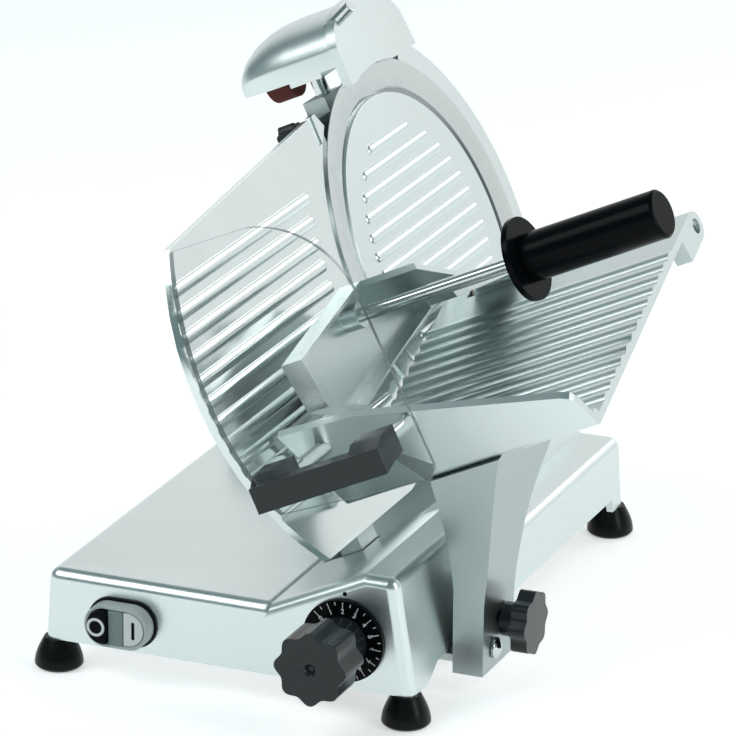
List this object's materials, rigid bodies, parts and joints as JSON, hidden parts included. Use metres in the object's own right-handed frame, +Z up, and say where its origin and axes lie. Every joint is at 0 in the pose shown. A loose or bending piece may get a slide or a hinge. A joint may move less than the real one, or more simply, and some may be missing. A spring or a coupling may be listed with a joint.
{
  "type": "electric food slicer",
  "caption": "Gravity-feed food slicer with a tilted round knife, ribbed gauge plate, sliding carriage with pusher and hand guard, built-in sharpener and a black thickness dial.",
  "frame": {"origin": "on the floor, midway between the four feet", "axes": "+X to the right of the person at the machine, +Y to the back, +Z up; the carriage slides along Y and the knife leans back to the left by 25 degrees about Y"},
  "size_m": [0.4537, 0.6156, 0.439],
  "materials": {
    "cast_aluminium": "polished casting",
    "steel": "ground and polished",
    "sheet_steel": "rolled sheet",
    "black_plastic": "moulded, satin",
    "grey_plastic": "moulded",
    "white_plastic": "moulded",
    "rubber": "matt",
    "bronze": "sintered",
    "clear_sheet": "clear sheet, polished edges",
    "grinding_grit": "bonded grit",
    "honing_grit": "fine bonded grit"
  },
  "bodies": {
    "stand": {"base_casting": "cast_aluminium", "base_plate": "sheet_steel", "feet": "rubber", "foot_screws": "steel", "cable_gland": "black_plastic", "control_box": "black_plastic", "switch_gasket": "rubber", "switch_bezel": "grey_plastic", "switch_lens": "grey_plastic", "switch_block": "black_plastic", "gauge_rod": "steel", "blade_cover": "cast_aluminium", "ring_guard": "cast_aluminium", "blade_housing": "cast_aluminium", "bearing_housing": "cast_aluminium", "bearings": "steel", "drive_belt": "rubber", "motor": "sheet_steel", "motor_cover": "black_plastic", "pulley_cover": "cast_aluminium", "sharpener_post": "cast_aluminium", "slide_rod": "steel", "guide_bar": "steel"},
    "stop_key": {"stop_button": "black_plastic"},
    "start_key": {"start_button": "white_plastic"},
    "knob": {"thickness_knob": "black_plastic", "dial_disc": "black_plastic", "knob_shaft": "steel", "gauge_cam": "steel"},
    "gauge": {"gauge_plate": "cast_aluminium", "gauge_arm": "cast_aluminium"},
    "blade": {"knife": "steel", "knife_hub": "steel", "knife_pulley": "steel"},
    "rotor": {"motor_pulley": "steel"},
    "tie": {"tie_rod": "steel", "tie_rod_knob": "black_plastic"},
    "carriage": {"slide_block": "cast_aluminium", "slide_bushes": "bronze", "carriage_bracket": "sheet_steel", "carriage_arm": "cast_aluminium", "arm_bolt": "steel", "carriage_table": "cast_aluminium", "hand_guard": "clear_sheet", "handle_posts": "steel", "carriage_handle": "black_plastic", "guide_rod": "steel"},
    "clamp": {"arm_knob": "black_plastic"},
    "slider": {"pusher_bush": "bronze"},
    "pusher": {"pusher_plate": "cast_aluminium", "pusher_teeth": "black_plastic", "pusher_rod": "steel", "pusher_disc": "black_plastic", "pusher_grip": "black_plastic"},
    "sharpener": {"sharpener_hood": "cast_aluminium", "sharpener_stem": "steel"},
    "grinder": {"grinding_stone": "grinding_grit"},
    "hone": {"honing_stone": "honing_grit"},
    "press_pin": {"sharpener_pin": "steel"},
    "sharpener_clamp": {"sharpener_knob": "black_plastic"}
  },
  "joints": [
    {"name": "stop_press", "type": "slide", "parent": "stand", "child": "stop_key", "axis": [0, 1, 0], "range_m": [0, 0.0025], "stiffness_N_per_m": 800, "springref_m": -0.002},
    {"name": "start_press", "type": "slide", "parent": "stand", "child": "start_key", "axis": [0, 1, 0], "range_m": [0, 0.0025], "stiffness_N_per_m": 800, "springref_m": -0.002},
    {"name": "knob_turn", "type": "hinge", "parent": "stand", "child": "knob", "pos_m": [0.09519, -0.222, 0.06202], "axis": [0, -1, 0], "range_deg": [0, 300]},
    {"name": "gauge_slide", "type": "slide", "parent": "stand", "child": "gauge", "axis": [-0.9063, 0, -0.4226], "range_m": [0, 0.014]},
    {"name": "knife_spin", "type": "hinge", "parent": "stand", "child": "blade", "pos_m": [0.0094, 0.1546, 0.246], "axis": [0.9063, 0, 0.4226], "continuous": true},
    {"name": "motor_spin", "type": "hinge", "parent": "stand", "child": "rotor", "pos_m": [0.04955, 0.1546, 0.1599], "axis": [0.9063, 0, 0.4226], "continuous": true},
    {"name": "tie_knob_turn", "type": "hinge", "parent": "stand", "child": "tie", "pos_m": [0.0094, 0.1546, 0.246], "axis": [0.9063, 0, 0.4226], "continuous": true},
    {"name": "carriage_slide", "type": "slide", "parent": "stand", "child": "carriage", "axis": [0, 1, 0], "range_m": [0, 0.26]},
    {"name": "arm_knob_turn", "type": "hinge", "parent": "carriage", "child": "clamp", "pos_m": [0.175, -0.108, 0.05], "axis": [1, 0, 0], "range_deg": [0, 180]},
    {"name": "pusher_slide", "type": "slide", "parent": "carriage", "child": "slider", "axis": [0.9063, 0, 0.4226], "range_m": [0, 0.135]},
    {"name": "pusher_swing", "type": "hinge", "parent": "slider", "child": "pusher", "pos_m": [0.03222, 0.14064, 0.19706], "axis": [-0.9063, 0, -0.4226], "range_deg": [0, 65]},
    {"name": "sharpener_lift", "type": "slide", "parent": "stand", "child": "sharpener", "axis": [-0.4226, 0, 0.9063], "range_m": [0, 0.018]},
    {"name": "grinding_spin", "type": "hinge", "parent": "sharpener", "child": "grinder", "pos_m": [-0.05864, 0.1386, 0.39192], "axis": [0.9063, 0, 0.4226], "continuous": true},
    {"name": "honing_spin", "type": "hinge", "parent": "sharpener", "child": "hone", "pos_m": [-0.05864, 0.1786, 0.39192], "axis": [0.9063, 0, 0.4226], "continuous": true},
    {"name": "pin_press", "type": "slide", "parent": "sharpener", "child": "press_pin", "axis": [-0.6691, 0, -0.7431], "range_m": [0, 0.005], "stiffness_N_per_m": 800, "springref_m": -0.002},
    {"name": "sharpener_knob_turn", "type": "hinge", "parent": "stand", "child": "sharpener_clamp", "pos_m": [-0.04047, 0.0976, 0.35294], "axis": [0.9063, 0, 0.4226], "range_deg": [0, 180]}
  ],
  "couplings": [
    {"joint": "knob_turn", "follows": "gauge_slide", "rad_per_m": 373.99},
    {"joint": "motor_spin", "follows": "knife_spin", "ratio": 3.8571}
  ]
}
